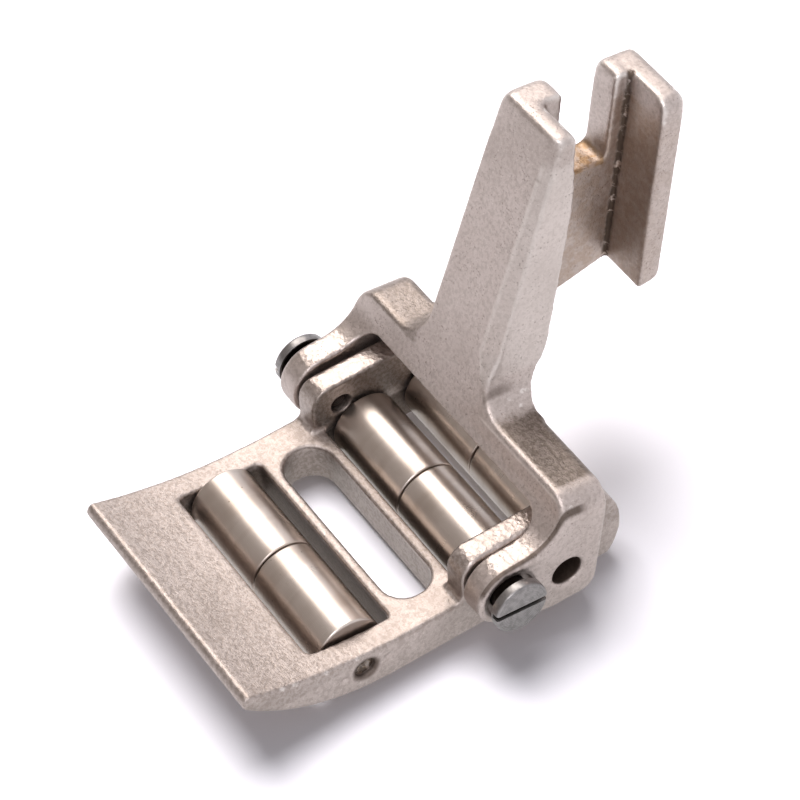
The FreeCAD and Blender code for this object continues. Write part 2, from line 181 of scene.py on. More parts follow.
class PresserFootCasting(bpy.types.PropertyGroup):
    """Sizes and colours of the two nickel-plated castings."""
    grain: bpy.props.FloatProperty(
        name="Mesh Grain", description="Cell of the cast surface's mesh",
        default=0.14 * MM, unit="LENGTH")
    ripple: bpy.props.FloatProperty(
        name="Surface Ripple", description="Height of the casting's uneven surface",
        default=0.03 * MM, unit="LENGTH")
    nickel: bpy.props.FloatVectorProperty(
        name="Nickel", description="Colour of the clean plating",
        default=(0.53, 0.46, 0.43), subtype="COLOR")
    shade: bpy.props.FloatVectorProperty(
        name="Dull Nickel", description="Colour of the dull patches and of the troughs between grains",
        default=(0.36, 0.305, 0.275), subtype="COLOR")
    # Also the colour of painted highlights on the toe's edge, the crossbar's front corner, the leg's edges
    # and the caps' edges.
    worn_and_highlit: bpy.props.FloatVectorProperty(
        name="Worn Edge", description="Colour of rubbed edges and of the tips of grains",
        default=(0.84, 0.79, 0.75), subtype="COLOR")
    # Also the colour of painted shade on the sole's inner walls and of a painted dark reflection on the
    # crossbar's top.
    coarse_and_shaded: bpy.props.FloatVectorProperty(
        name="Coarse Ground", description="Colour of the dark unpolished ground",
        default=(0.20, 0.165, 0.14), subtype="COLOR")
    stain: bpy.props.FloatVectorProperty(
        name="Stain", description="Colour of the golden brown stain on the notch's floor and in the channel",
        default=(0.32, 0.205, 0.115), subtype="COLOR")
    # Also the colour of painted shade in crevices, on the sole's inner walls, inside the arm's hole and
    # beside the leg's foot, and of a painted dark reflection along the near arm's edge.
    grime_and_shade: bpy.props.FloatVectorProperty(
        name="Grime", description="Colour of dirt in corners and pits",
        default=(0.075, 0.05, 0.035), subtype="COLOR")
    rounding: bpy.props.IntProperty(
        name="Edge Rounding", description="How many times the cast surface is smoothed", default=7)
    cap_rounding: bpy.props.IntProperty(
        name="Cap Rounding", description="How many times more the shank's caps are smoothed", default=14)
    cap_height: bpy.props.FloatProperty(
        name="Cap Height", description="Height above the table from which the caps are smoothed more",
        default=27.4 * MM, unit="LENGTH")
    lean: bpy.props.FloatProperty(
        name="Yoke Lean", description="Angle that the shank leans back",
        default=math.radians(LEAN), subtype="ANGLE")


class PresserFootRollers(bpy.types.PropertyGroup):
    """Rims and finish of the six rollers, and finish of their axles."""
    steel: bpy.props.FloatVectorProperty(
        name="Roller Steel", description="Colour of the ground rollers",
        default=(0.62, 0.55, 0.50), subtype="COLOR")
    tarnish: bpy.props.FloatVectorProperty(
        name="Tarnish", description="Brown bloom on the rollers",
        default=(0.34, 0.26, 0.20), subtype="COLOR")
    rim: bpy.props.FloatProperty(
        name="Rim Bevel", description="Bevel of each roller's rims",
        default=0.16 * MM, unit="LENGTH")


class PresserFootScrews(bpy.types.PropertyGroup):
    """Sizes and finish of the two pivot screws."""
    steel: bpy.props.FloatVectorProperty(
        name="Screw Steel", description="Colour of the turned screws",
        default=(0.30, 0.285, 0.28), subtype="COLOR")
    # Also the colour of painted shade under the screw's head.
    dirt: bpy.props.FloatVectorProperty(
        name="Slot Dirt", description="Colour of dirt in the slots",
        default=(0.055, 0.043, 0.036), subtype="COLOR")
    bevel: bpy.props.FloatProperty(
        name="Head Bevel", description="Rounding of the head's rim",
        default=0.20 * MM, unit="LENGTH")
    head: bpy.props.FloatProperty(
        name="Head Thickness", description="Thickness of the head",
        default=0.75 * MM, unit="LENGTH")
    thread: bpy.props.FloatProperty(
        name="Thread Radius", description="Outer radius of the thread",
        default=1.3 * MM, unit="LENGTH")
    tip: bpy.props.FloatProperty(
        name="Tip Radius", description="Radius of the plain tip in the sole's ear",
        default=0.75 * MM, unit="LENGTH")
    tip_length: bpy.props.FloatProperty(
        name="Tip Length", description="Length of the plain tip",
        default=1.65 * MM, unit="LENGTH")
    slot_width: bpy.props.FloatProperty(
        name="Slot Width", description="Width of the driver slot",
        default=0.42 * MM, unit="LENGTH")
    slot_depth: bpy.props.FloatProperty(
        name="Slot Depth", description="Depth of the driver slot",
        default=0.55 * MM, unit="LENGTH")
    slot_turn: bpy.props.FloatProperty(
        name="Slot Turn", description="Turn of the driver slot from level, rising to the heel",
        default=math.radians(2.0 - LEAN), subtype="ANGLE")


class PresserFootStudio(bpy.types.PropertyGroup):
    """Camera, room and floor."""
    azimuth: bpy.props.FloatProperty(
        name="Azimuth", description="Camera's turn about the foot, from the toe to the right",
        default=math.radians(59.95), subtype="ANGLE")
    elevation: bpy.props.FloatProperty(
        name="Elevation", description="Camera's angle above the table",
        default=math.radians(49.17), subtype="ANGLE")
    roll: bpy.props.FloatProperty(
        name="Roll", description="Camera's tilt about its own line of sight",
        default=math.radians(-4.594), subtype="ANGLE")
    distance: bpy.props.FloatProperty(
        name="Distance", description="Camera's distance from its target",
        default=261.62 * MM, unit="LENGTH")
    target: bpy.props.FloatVectorProperty(
        name="Target", description="Point that the camera looks at",
        default=(-3.144 * MM, 6.08 * MM, 9.36 * MM), subtype="XYZ")
    lens: bpy.props.FloatProperty(
        name="Lens", description="Focal length in millimetres on a 36 mm sensor", default=170.6)
    floor: bpy.props.FloatVectorProperty(
        name="Floor", description="Colour of the table", default=(0.93, 0.92, 0.97), subtype="COLOR")
    glow: bpy.props.FloatProperty(
        name="Paper Glow", description="Share of plain white that is seen in the table", default=0.005)
    mirrored_glow: bpy.props.FloatProperty(
        name="Mirrored Glow", description="Share of plain white that the metal mirrors from the table",
        default=0.6)
    room: bpy.props.FloatVectorProperty(
        name="Room", description="Colour of the room", default=(0.98, 0.965, 1.0), subtype="COLOR")
    dim_room: bpy.props.FloatVectorProperty(
        name="Dim Room", description="Colour that the metal mirrors from the room's dim side",
        default=(0.42, 0.38, 0.36), subtype="COLOR")
    room_light: bpy.props.FloatProperty(
        name="Room Light", description="Share of the room's light that falls on matt surfaces", default=0.30)


# Shader maths


class Socket:
    """An output socket whose operators add Math nodes."""

    def __init__(self, tree, out):
        self.tree = tree
        self.out = out

    def math(self, operation, *others):
        node = self.tree.nodes.new("ShaderNodeMath")
        node.operation = operation
        for slot, value in zip(node.inputs, (self,) + others):
            plug(self.tree, slot, value)
        return Socket(self.tree, node.outputs[0])

    def __add__(self, other):
        return self.math("ADD", other)

    __radd__ = __add__

    def __mul__(self, other):
        return self.math("MULTIPLY", other)

    def __sub__(self, other):
        return self.math("SUBTRACT", other)

    def __rsub__(self, other):
        return (self * -1.0) + other

    def __pow__(self, other):
        return self.math("POWER", other)

    def __abs__(self):
        return self.math("ABSOLUTE")

    def __or__(self, other):
        """The stronger of two masks."""
        return self.math("MAXIMUM", other)

    def at_most(self, limit):
        return self.math("MINIMUM", limit)

    def above(self, low, high):
        """0 below low, 1 above high, smooth between."""
        node = self.tree.nodes.new("ShaderNodeMapRange")
        node.interpolation_type = "SMOOTHSTEP"
        for name, value in (("Value", self), ("From Min", low), ("From Max", high)):
            plug(self.tree, node.inputs[name], value)
        return Socket(self.tree, node.outputs["Result"])

    def below(self, low, high):
        return 1.0 - self.above(low, high)

    def between(self, low, full_from, full_to, high):
        """0 below low and above high, 1 in the middle, smooth at both sides."""
        return self.above(low, full_from) * self.below(full_to, high)

    def near(self, full, none):
        """1 closer to zero than full, 0 farther from it than none."""
        return abs(self).below(full, none)


def plug(tree, slot, value):
    if isinstance(value, Socket):
        tree.links.new(value.out, slot)
    else:
        slot.default_value = value


def from_line(first, second):
    """Distance from the line on which both coordinates are zero."""
    return (first * first + second * second) ** 0.5


def seen_and_mirrored(tree):
    """What the camera sees, also through a pane, and what polished surfaces mirror."""
    path = tree.nodes.new("ShaderNodeLightPath")
    seen = Socket(tree, path.outputs["Is Camera Ray"]) + Socket(tree, path.outputs["Is Transmission Ray"])
    return seen, Socket(tree, path.outputs["Is Glossy Ray"])


def in_mm(box):
    """A box's two corners in millimetres."""
    return [[value / MM for value in corner] for corner in box]


def inward(face, depths):
    """Places at these depths under a face."""
    return [face - depth for depth in depths]


def middle(low, high):
    """Middle of a box as seen along X: its y and z."""
    return (low[1] + high[1]) / 2, (low[2] + high[2]) / 2


def dimmed(color, share):
    return tuple(share * part for part in color)


class Finish:
    """A material and its nodes; sizes and places in it are in millimetres."""

    def __init__(self, name, roughness=0.4, metallic=1.0):
        self.material = bpy.data.materials.new(name)
        self.material.use_nodes = True
        self.tree = self.material.node_tree
        self.shader = self.tree.nodes["Principled BSDF"]
        self.shader.inputs["Metallic"].default_value = metallic
        self.shader.inputs["Roughness"].default_value = roughness
        self.place = self.wrap(self.node("ShaderNodeTexCoord").outputs["Object"])

    def node(self, kind, **values):
        node = self.tree.nodes.new(kind)
        for name, value in values.items():
            plug(self.tree, node.inputs[name.replace("_", " ")], value)
        return node

    def wrap(self, out):
        return Socket(self.tree, out)

    def moved(self, turn=(0, 0, 0), scale=(1, 1, 1), shift=(0, 0, 0)):
        """The place after scaling, turning and shifting it."""
        node = self.node("ShaderNodeMapping", Vector=self.place, Location=[MM * step for step in shift],
                         Rotation=turn, Scale=scale)
        return self.wrap(node.outputs["Vector"])

    def noise(self, size, detail=4.0, rough=0.6, at=None):
        """Noise with features of about this size."""
        node = self.node("ShaderNodeTexNoise", Vector=at or self.place, Scale=1 / (size * MM),
                         Detail=detail, Roughness=rough)
        return self.wrap(node.outputs["Fac"])

    def cells(self, size):
        """Distance from the middle of the nearest of many cells of about this size."""
        node = self.node("ShaderNodeTexVoronoi", Vector=self.place, Scale=1 / (size * MM))
        return self.wrap(node.outputs["Distance"])

    def axis(self, name, at=None):
        node = self.node("ShaderNodeSeparateXYZ", Vector=at or self.place)
        return self.wrap(node.outputs[name]) * (1 / MM)

    def axes(self, at=None):
        return [self.axis(name, at) for name in "XYZ"]

    def edges(self):
        return self.wrap(self.node("ShaderNodeNewGeometry").outputs["Pointiness"])

    def mix(self, factor, first, second):
        node = self.tree.nodes.new("ShaderNodeMix")
        node.data_type = "RGBA"
        for slot, value in ((node.inputs[0], factor), (node.inputs[6], first), (node.inputs[7], second)):
            if not isinstance(value, (Socket, float)):
                value = tuple(value)[:3] + (1.0,)
            plug(self.tree, slot, value)
        return self.wrap(node.outputs[2])

    def bump(self, height, depth, strength):
        node = self.node("ShaderNodeBump", Height=height, Distance=depth * MM, Strength=strength)
        return self.wrap(node.outputs["Normal"])

    def glow(self, seen_share, mirrored_share):
        """Mixes plain white into what the camera or a pane sees, and into what the metal mirrors."""
        seen, mirrored = seen_and_mirrored(self.tree)
        white = self.node("ShaderNodeEmission", Strength=1.0)
        mixed = self.node("ShaderNodeMixShader")
        plug(self.tree, mixed.inputs[0], (seen * seen_share + mirrored * mirrored_share).at_most(1.0))
        self.tree.links.new(self.shader.outputs[0], mixed.inputs[1])
        self.tree.links.new(white.outputs[0], mixed.inputs[2])
        output = self.tree.nodes["Material Output"]
        self.tree.links.new(mixed.outputs[0], output.inputs["Surface"])

    def set(self, **values):
        for name, value in values.items():
            plug(self.tree, self.shader.inputs[name.replace("_", " ")], value)
        return self.material


# Cast nickel


def cast_finish(name, props, ground, grain, pitted):
    """Nickel on a cast surface.

    ground(finish) gives masks of its dark places (unpolished ground with painted shade and a painted dark
    reflection), its hammered and stained places, places darkened by soiling and painted shade, and places
    lightened by wear and painted highlights.
    grain and pitted say how strongly the grains and the pits show.
    """
    finish = Finish(name)
    sand = finish.noise(0.30, detail=3.0, rough=0.65)
    grit = finish.noise(0.10, detail=2.0, rough=0.7)
    lumps = finish.noise(1.4, detail=3.0, rough=0.5)
    patches = finish.noise(5.0)
    flakes = finish.cells(0.42)
    pits = cast_pits(finish) * pitted
    edge = finish.edges()
    # The last two masks hold soiling with painted shade, and wear with painted highlights.
    dark, hammered, stained, grimy_and_shaded, rubbed_and_highlit = ground(finish)
    # Light edges: wear on sharp edges, plus the painted highlights of the last mask.
    worn_and_highlit = edge.above(*WORN_EDGE) * (0.2 + sand.above(0.42, 0.60) * 0.3)
    worn_and_highlit = worn_and_highlit | rubbed_and_highlit
    color = finish.mix(patches.above(0.40, 0.66) * 0.35, props.nickel, props.shade)
    color = finish.mix(sand.below(0.40, 0.54) * (0.85 * grain), color, props.shade)
    color = finish.mix(grit.above(0.55, 0.70) * sand.above(0.48, 0.60) * (0.7 * grain), color, props.worn_and_highlit)
    # Unpolished ground, and painted shade and a painted dark reflection, in the dark colour.
    color = finish.mix(dark * (0.70 + sand.below(0.38, 0.60) * 0.30), color, props.coarse_and_shaded)
    color = finish.mix(hammered * flakes.above(0.38, 0.60) * 0.6, color, props.shade)
    color = finish.mix(stained, color, props.stain)
    # Wear and painted highlights in the light edge colour.
    color = finish.mix(worn_and_highlit * (1.0 - grimy_and_shaded), color, props.worn_and_highlit)
    # Dark fill: soiling in pits, painted shade in crevices, and the ground's soiling and painted shade.
    dirt = (pits * 0.8 + edge.below(*CREVICE_SHADE) * 0.75 + grimy_and_shaded).at_most(0.92)
    color = finish.mix(dirt, color, props.grime_and_shade)
    dull = CAST_ROUGHNESS + (lumps - 0.5) * 0.10 + (sand - 0.5) * 0.16 + dirt * 0.2
    polished = worn_and_highlit * 0.14 + hammered * 0.10
    grains = sand * (0.5 + 0.6 * grain) + grit * (0.5 * grain)
    height = grains + lumps * 0.6 - pits + dark * sand * 0.5 + hammered * flakes * 1.2
    return finish.set(Base_Color=color, Roughness=dull - polished, Normal=finish.bump(height, CAST_BUMP, 0.7))


def cast_pits(finish):
    """Small pits in some patches, and a few big ones."""
    small = finish.noise(0.15, detail=1.0, rough=0.5).below(0.28, 0.34)
    small = small * finish.noise(1.9, detail=3.0, rough=0.5).above(0.42, 0.56)
    big = finish.cells(1.5).below(0.03, 0.08)
    return small | big * finish.noise(4.0, detail=2.0, rough=0.5).above(0.50, 0.56)


def sole_ground(finish):
    """Hammered ear tops, painted shade on the windows' and the ears' inner walls, a somewhat darker sole
    above the plate, soiling at the front axle's end, and wear with a painted highlight on the toe's edge; no
    stain.
    """
    x, y, z = finish.axes()
    across = abs(x)
    hammered = z.above(*EAR_TOP)
    inside = across.below(*WINDOW_SIDES) * y.above(*FRONT_WINDOW)
    below_plate = z.below(*BELOW_PLATE_TOP)
    in_slot = y.near(*NEEDLE_SLOT)
    # Painted shade on the windows' inner walls above and below the plate, a little lighter in the needle
    # slot.
    walls = inside * (z.above(*ABOVE_PLATE) + below_plate * (1.0 - in_slot * 0.25)) * 0.9
    # The sole above the plate's top is also somewhat darker, less so on the ear tops.
    dark = walls | z.above(*UPPER_SOLE) * (0.38 - hammered * 0.30)

    low, high = in_mm(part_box("axle_front"))
    axle_y, axle_z = middle(low, high)
    beyond = [high[0] + step for step in BEYOND_AXLE]
    round_axle = from_line(y - axle_y, z - axle_z).below(*AXLE_DIRT) * across.above(*beyond)
    # Painted shade on the ears' inner walls and on the windows' walls under the plate; soiling round the
    # front axle's end.
    ear_wall = across.below(*EAR_INSIDE) * z.above(*EAR_FOOT) * y.above(*EAR_FRONT)
    window_wall = inside * below_plate * (1.0 - in_slot)
    grimy_and_shaded = (round_axle * 0.75 + ear_wall * 0.75 + window_wall * 0.55).at_most(0.9)
    # Wear and a painted highlight on the toe's edge.
    rubbed_and_highlit = finish.edges().above(*RUBBED_AND_HIGHLIT_EDGE) * y.below(*TOE_EDGE)
    return dark, hammered, 0.0, grimy_and_shaded, rubbed_and_highlit


def yoke_ground(finish, lean):
    """The yoke's masks, measured from the pivot with the shank upright."""
    low, high = in_mm(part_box("pivot_screw_right"))
    pivot = Vector((0.0,) + middle(low, high))
    turn = Matrix.Rotation(lean, 3, "X")
    place = finish.axes(finish.moved(turn=(lean, 0.0, 0.0), shift=-(turn @ pivot)))
    y, z = place[1:]
    outer = in_mm(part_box("yoke_shank"))[1][0]
    wander = (finish.noise(1.1, detail=3.0) - 0.5) * 1.2
    blots = finish.noise(0.8, detail=3.0, rough=0.65).above(0.40, 0.58)
    cap = z.above(*CAP_FOOT)

    # Unpolished ground with a painted dark reflection on the crossbar's top.
    dark = rough_crossbar_and_dark_reflection(place, wander)
    hammered = y.below(*BOSS_BACK) * z.above(*BOSS_TOP)
    stained = notch_stain(place, wander, blots) | channel_stain(place, blots) * (1.0 - cap)
    # Painted shade in the arm's hole and beside the leg's foot, a painted dark reflection along the near
    # arm's edge, and a broken dark line in the web's corner.
    grimy_and_shaded = corner_dark_line(finish, place, wander) | access_hole(place, outer) | arm_side_edge(place, outer)
    grimy_and_shaded = grimy_and_shaded | leg_groove_shade(place) * 0.5
    # Painted highlights on the crossbar's front corner and the leg's edges, and wear with a painted highlight
    # on the caps' edges.
    rubbed_and_highlit = crossbar_corner_highlight(place, outer) | leg_edge_highlights(place)
    rubbed_and_highlit = rubbed_and_highlit | cap * finish.edges().above(*RUBBED_AND_HIGHLIT_EDGE) * 0.7
    return dark, hammered, stained, grimy_and_shaded, rubbed_and_highlit


def rough_crossbar_and_dark_reflection(place, wander):
    """Unpolished ground on the crossbar's top, right of the leg and at the left end; right of the leg its
    darkness is also a painted reflection of the dark web behind it.
    """
    x, y, z = place
    right = (x + wander).above(*CROSSBAR_RIGHT) * x.below(*CROSSBAR_END) * y.above(*CROSSBAR_BACK)
    left = (x + wander).below(*CROSSBAR_LEFT) * 0.75
    return z.between(*CROSSBAR_TOP) * (right | left)


def notch_stain(place, wander, blots):
    """Golden stain on the notch's floor."""
    x, y, z = place
    in_notch = (y + wander * 0.4).above(*NOTCH_FRONT) * y.below(*NOTCH_BACK) * x.below(*NOTCH_RIGHT)
    on_floor = z.above(*NOTCH_FLOOR) * (z + wander).below(*NOTCH_STAIN_TOP)
    return in_notch * on_floor * (0.5 + blots * 0.45)


def channel_stain(place, blots):
    """Faint stain in the channel for the presser bar."""
    x, y, z = place
    in_channel = x.between(*CHANNEL_WIDTH) * y.above(*CHANNEL_FRONT) * z.above(*CHANNEL_FOOT)
    return in_channel * (0.16 + blots * 0.22)


def corner_dark_line(finish, place, wander):
    """Broken dark line in the corner between web and back flange."""
    x, y, z = place
    from_corner = from_line(x - CORNER_LINE[0], y - CORNER_LINE[1]) + wander * 0.25
    broken = finish.noise(0.7, detail=3.0, rough=0.7).above(0.34, 0.48)
    return from_corner.below(*CORNER_LINE_WIDTH) * broken * z.above(*CORNER_FOOT) * 0.95


def access_hole(place, outer):
    """Painted shade inside the near arm's small hole."""
    x, y, z = place
    in_hole = from_line(y - ACCESS_HOLE[0], z - ACCESS_HOLE[1]).below(*ACCESS_HOLE_RIM)
    return in_hole * x.between(*ACCESS_HOLE_SIDE, *inward(outer, ACCESS_HOLE_MOUTH)) * 0.92


def arm_side_edge(place, outer):
    """Painted dark reflection along the near arm's rounded upper edge."""
    x, y, z = place
    edge = x.between(*inward(outer, ARM_EDGE_INSET))
    return edge * z.between(*ARM_EDGE_HEIGHT) * y.below(*ARM_EDGE_BACK) * 0.8


def crossbar_corner_highlight(place, outer):
    """Painted highlight on the corner along the crossbar's top, right of the leg."""
    x, y, z = place
    along = x.between(*TOP_CORNER_LEFT, *inward(outer, TOP_CORNER_INSET))
    return along * z.between(*TOP_CORNER_HEIGHT) * y.below(*TOP_CORNER_BACK)


def leg_right_edge(place):
    """How far a place lies right of the leg's right edge, and how high above the leg's foot."""
    x, _, z = place
    up_leg = z - LEG_FOOT
    return x - LEG_RIGHT + up_leg * LEG_TAPER, up_leg


def leg_edge_highlights(place):
    """Painted highlight lines on the leg's bevel and right edge, with a fainter painted highlight on the
    strip between them.
    """
    y, z = place[1:]
    from_right, up_leg = leg_right_edge(place)
    bevel = (BEVEL_WIDTH - up_leg * BEVEL_TAPER).at_most(up_leg * BEVEL_RISE - BEVEL_START)
    from_bevel = from_right + bevel
    lines = from_bevel.near(*BEVEL_LINE) | (from_right + EDGE_LINE_INSET).near(*EDGE_LINE)
    strip = from_bevel.above(*STRIP_LEFT) * from_right.below(*STRIP_RIGHT)
    return (lines * 0.34 | strip * 0.20) * z.between(*LEG_HEIGHT) * y.below(*LEG_BACK)


def leg_groove_shade(place):
    """Painted shade line standing for a groove beside the leg's foot."""
    y, z = place[1:]
    from_right = leg_right_edge(place)[0]
    groove = (from_right - GROOVE_OFFSET).near(*GROOVE_WIDTH)
    return groove * z.between(*GROOVE_HEIGHT) * y.below(*GROOVE_BACK)


# Turned and ground steel


def roller_finish(props):
    """Ground steel: fine rings round the roller, brown bloom and a few dull bands."""
    finish = Finish("ground_roller")
    rings = finish.moved(scale=(1.0, 0.03, 0.03))
    grind = finish.noise(0.07, detail=4.0, rough=0.65, at=rings)
    bands = finish.noise(1.1, detail=3.0, rough=0.5, at=rings)
    bloom = finish.noise(3.5, detail=3.0, rough=0.5)
    specks = finish.cells(0.9).below(0.05, 0.10) * bloom.above(0.5, 0.6)
    color = finish.mix(bloom.above(0.45, 0.75) * 0.4, props.steel, props.tarnish)
    color = finish.mix(bands.above(0.52, 0.66) * 0.15, color, props.tarnish)
    color = finish.mix(specks * 0.5, color, dimmed(props.tarnish, 0.3))
    roughness = 0.30 + (bloom - 0.5) * 0.10 + (grind - 0.5) * 0.10 + (bands - 0.5) * 0.06
    return finish.set(Base_Color=color, Roughness=roughness, Normal=finish.bump(grind, 0.004, 0.6))


def axle_finish(props):
    """Dull steel pin, dark where its ends are staked."""
    finish = Finish("axle_steel")
    wear = finish.noise(0.4)
    low, high = in_mm(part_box("axle_front"))
    end = abs(finish.axis("X")).above(*inward(high[0], AXLE_END))
    punched = end * finish.noise(0.55, detail=3.0).above(0.42, 0.52)
    dirt = (1.0 - end * 0.7 + punched).at_most(1.0) * 0.85
    color = finish.mix(wear.above(0.4, 0.6), props.tarnish, dimmed(props.steel, 0.7))
    color = finish.mix(dirt, color, dimmed(props.tarnish, 0.2))
    return finish.set(Base_Color=color, Roughness=0.3 + wear * 0.2, Normal=finish.bump(wear, 0.01, 0.6))


def screw_finish(props):
    """Turned steel; rings run round the pivot axis, the slot is darker deep down, and painted shade covers
    the underside, neck and thread under the head.
    """
    finish = Finish("turned_screw")
    low, high = in_mm(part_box("pivot_screw_right"))
    pivot_y, pivot_z = middle(low, high)
    x, y, z = finish.axes(finish.moved(shift=(0.0, -pivot_y, -pivot_z)))
    radius = from_line(y, z)
    wear = finish.noise(0.5)
    ring = (radius * (2 * math.pi / RING_STEP) + wear * 3.0).math("SINE")
    streaks = finish.moved(turn=(math.radians(28), 0, 0), scale=(1, 0.12, 1))
    scratch = finish.noise(0.10, detail=3.0, at=streaks)
    sunk = abs(x).below(*inward(high[0], SLOT_FLOOR)) * radius.below(*HEAD_RIM)
    # Painted shade on the head's underside, neck and thread.
    neck = abs(x).below(*inward(high[0], HEAD_NECK))
    color = finish.mix(wear.above(0.40, 0.65) * 0.6, props.steel, dimmed(props.steel, 0.55))
    color = finish.mix(ring.above(0.2, 0.9) * 0.25, color, dimmed(props.steel, 0.45))
    color = finish.mix(sunk | neck, color, props.dirt)
    roughness = 0.34 + (wear - 0.5) * 0.24
    height = ring * 0.35 + wear * 0.8 + scratch * 0.8
    return finish.set(Base_Color=color, Roughness=roughness, Normal=finish.bump(height, 0.016, 0.7))


# Modelling helpers


def pick_none():
    if bpy.context.object and bpy.context.object.mode != "OBJECT":
        bpy.ops.object.mode_set(mode="OBJECT")
    bpy.ops.object.select_all(action="DESELECT")


def pick(piece):
    pick_none()
    piece.select_set(True)
    bpy.context.view_layer.objects.active = piece


def apply_modifier(piece, name, kind, **settings):
    pick(piece)
    modifier = piece.modifiers.new(name, kind)
    for key, value in settings.items():
        setattr(modifier, key, value)
    bpy.ops.object.modifier_apply(modifier=modifier.name)


def settle(piece):
    """Puts a piece's place into its mesh."""
    pick(piece)
    bpy.ops.object.transform_apply(location=True, rotation=True, scale=True)


def edit_all(piece):
    """Enters edit mode with the whole mesh selected."""
    pick(piece)
    bpy.ops.object.mode_set(mode="EDIT")
    bpy.ops.mesh.select_all(action="SELECT")


def edit(piece, kind, chosen):
    """Enters edit mode with only the chosen faces, edges or corner points selected."""
    pick(piece)
    bpy.ops.object.mode_set(mode="EDIT")
    bpy.ops.mesh.select_mode(type=kind)
    bpy.ops.mesh.select_all(action="DESELECT")
    mesh = bmesh.from_edit_mesh(piece.data)
    for part in {"FACE": mesh.faces, "EDGE": mesh.edges, "VERT": mesh.verts}[kind]:
        part.select_set(chosen(part))
    bmesh.update_edit_mesh(piece.data)


def leave_edit():
    bpy.ops.object.mode_set(mode="OBJECT")


def is_end(face):
    """Whether a face of a cylinder along X is one of its two ends."""
    return abs(face.normal.x) > SQUARE_ON


def body_of_node(node):
    for body, nodes in frame["record"]["behaviour"]["bodies"].items():
        if node in nodes:
            return body
    raise RuntimeError("no body holds " + node)


def hand_over(piece, node, material):
    """Lets a finished piece stand for a node."""
    piece.name = node + "_finished"
    piece.data.name = piece.name
    piece.data.materials.clear()
    piece.data.materials.append(material)
    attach(piece, body_of_node(node))
    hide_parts(node)


def merged_copy(node):
    """A welded copy of a node's mesh, to be shaped."""
    source = frame["nodes"][node]
    piece = bpy.data.objects.new(node + "_copy", source.data.copy())
    bpy.context.scene.collection.objects.link(piece)
    edit_all(piece)
    bpy.ops.mesh.remove_doubles(threshold=WELD)
    leave_edit()
    return piece


def x_cylinder(radius, x_from, x_to, y, z, segments):
    """A cylinder along X, made as a primitive."""
    pick_none()
    bpy.ops.mesh.primitive_cylinder_add(
        vertices=segments, radius=radius, depth=x_to - x_from,
        location=((x_from + x_to) / 2, y, z), rotation=(0, math.pi / 2, 0))
    piece = bpy.context.object
    settle(piece)
    return piece


def cut_with(piece, tool):
    """Cuts a tool's shape out of a piece and removes the tool."""
    apply_modifier(piece, "Cut", "BOOLEAN", operation="DIFFERENCE", object=tool, solver="EXACT")
    bpy.data.objects.remove(tool, do_unlink=True)


def soften(piece, angle=35.0):
    """Shades a piece smooth where its faces meet at less than this angle in degrees."""
    pick(piece)
    bpy.ops.object.shade_smooth_by_angle(angle=math.radians(angle))


# Operators, one for each kind of piece


class PRESSERFOOT_OT_castings(bpy.types.Operator):
    """Give the sole and the yoke their rounded, uneven cast surface"""
    bl_idname = "presserfoot.castings"
    bl_label = "Castings"

    def execute(self, context):
        props = context.scene.presserfoot_casting
        casts = {
            "sole_plate": dict(ground=sole_ground, grain=0.75, pitted=0.12),
            "yoke_shank": dict(ground=partial(yoke_ground, lean=props.lean), grain=0.55, pitted=0.4),
        }
        for node, look in casts.items():
            piece = merged_copy(node)
            self.cast(piece, node, props)
            material = cast_finish(node + "_nickel", props, **look)
            hand_over(piece, node, material)
        return {"FINISHED"}

    def cast(self, piece, node, props):
        """Remeshes the copy onto the node's surface, then rounds, evens and ripples it."""
        apply_modifier(piece, "Grain", "REMESH", mode="VOXEL", voxel_size=props.grain)
        apply_modifier(piece, "Settle", "SHRINKWRAP", target=frame["nodes"][node],
                       wrap_method="NEAREST_SURFACEPOINT")
        apply_modifier(piece, "Round", "SMOOTH", factor=0.5, iterations=props.rounding)
        edit_all(piece)
        bpy.ops.mesh.remove_doubles(threshold=props.grain * SHORT_EDGE_SHARE)
        bpy.ops.mesh.vertices_smooth(factor=0.5, repeat=2)
        leave_edit()
        edit(piece, "VERT", lambda vert: vert.co.z > props.cap_height)
        bpy.ops.mesh.vertices_smooth(factor=0.5, repeat=props.cap_rounding)
        leave_edit()
        texture = bpy.data.textures.new(node + "_ripple", "CLOUDS")
        texture.noise_scale = RIPPLE_SIZE
        apply_modifier(piece, "Ripple", "DISPLACE", texture=texture, strength=props.ripple,
                       mid_level=RIPPLE_MIDDLE, texture_coords="LOCAL")
        soften(piece, angle=89.0)


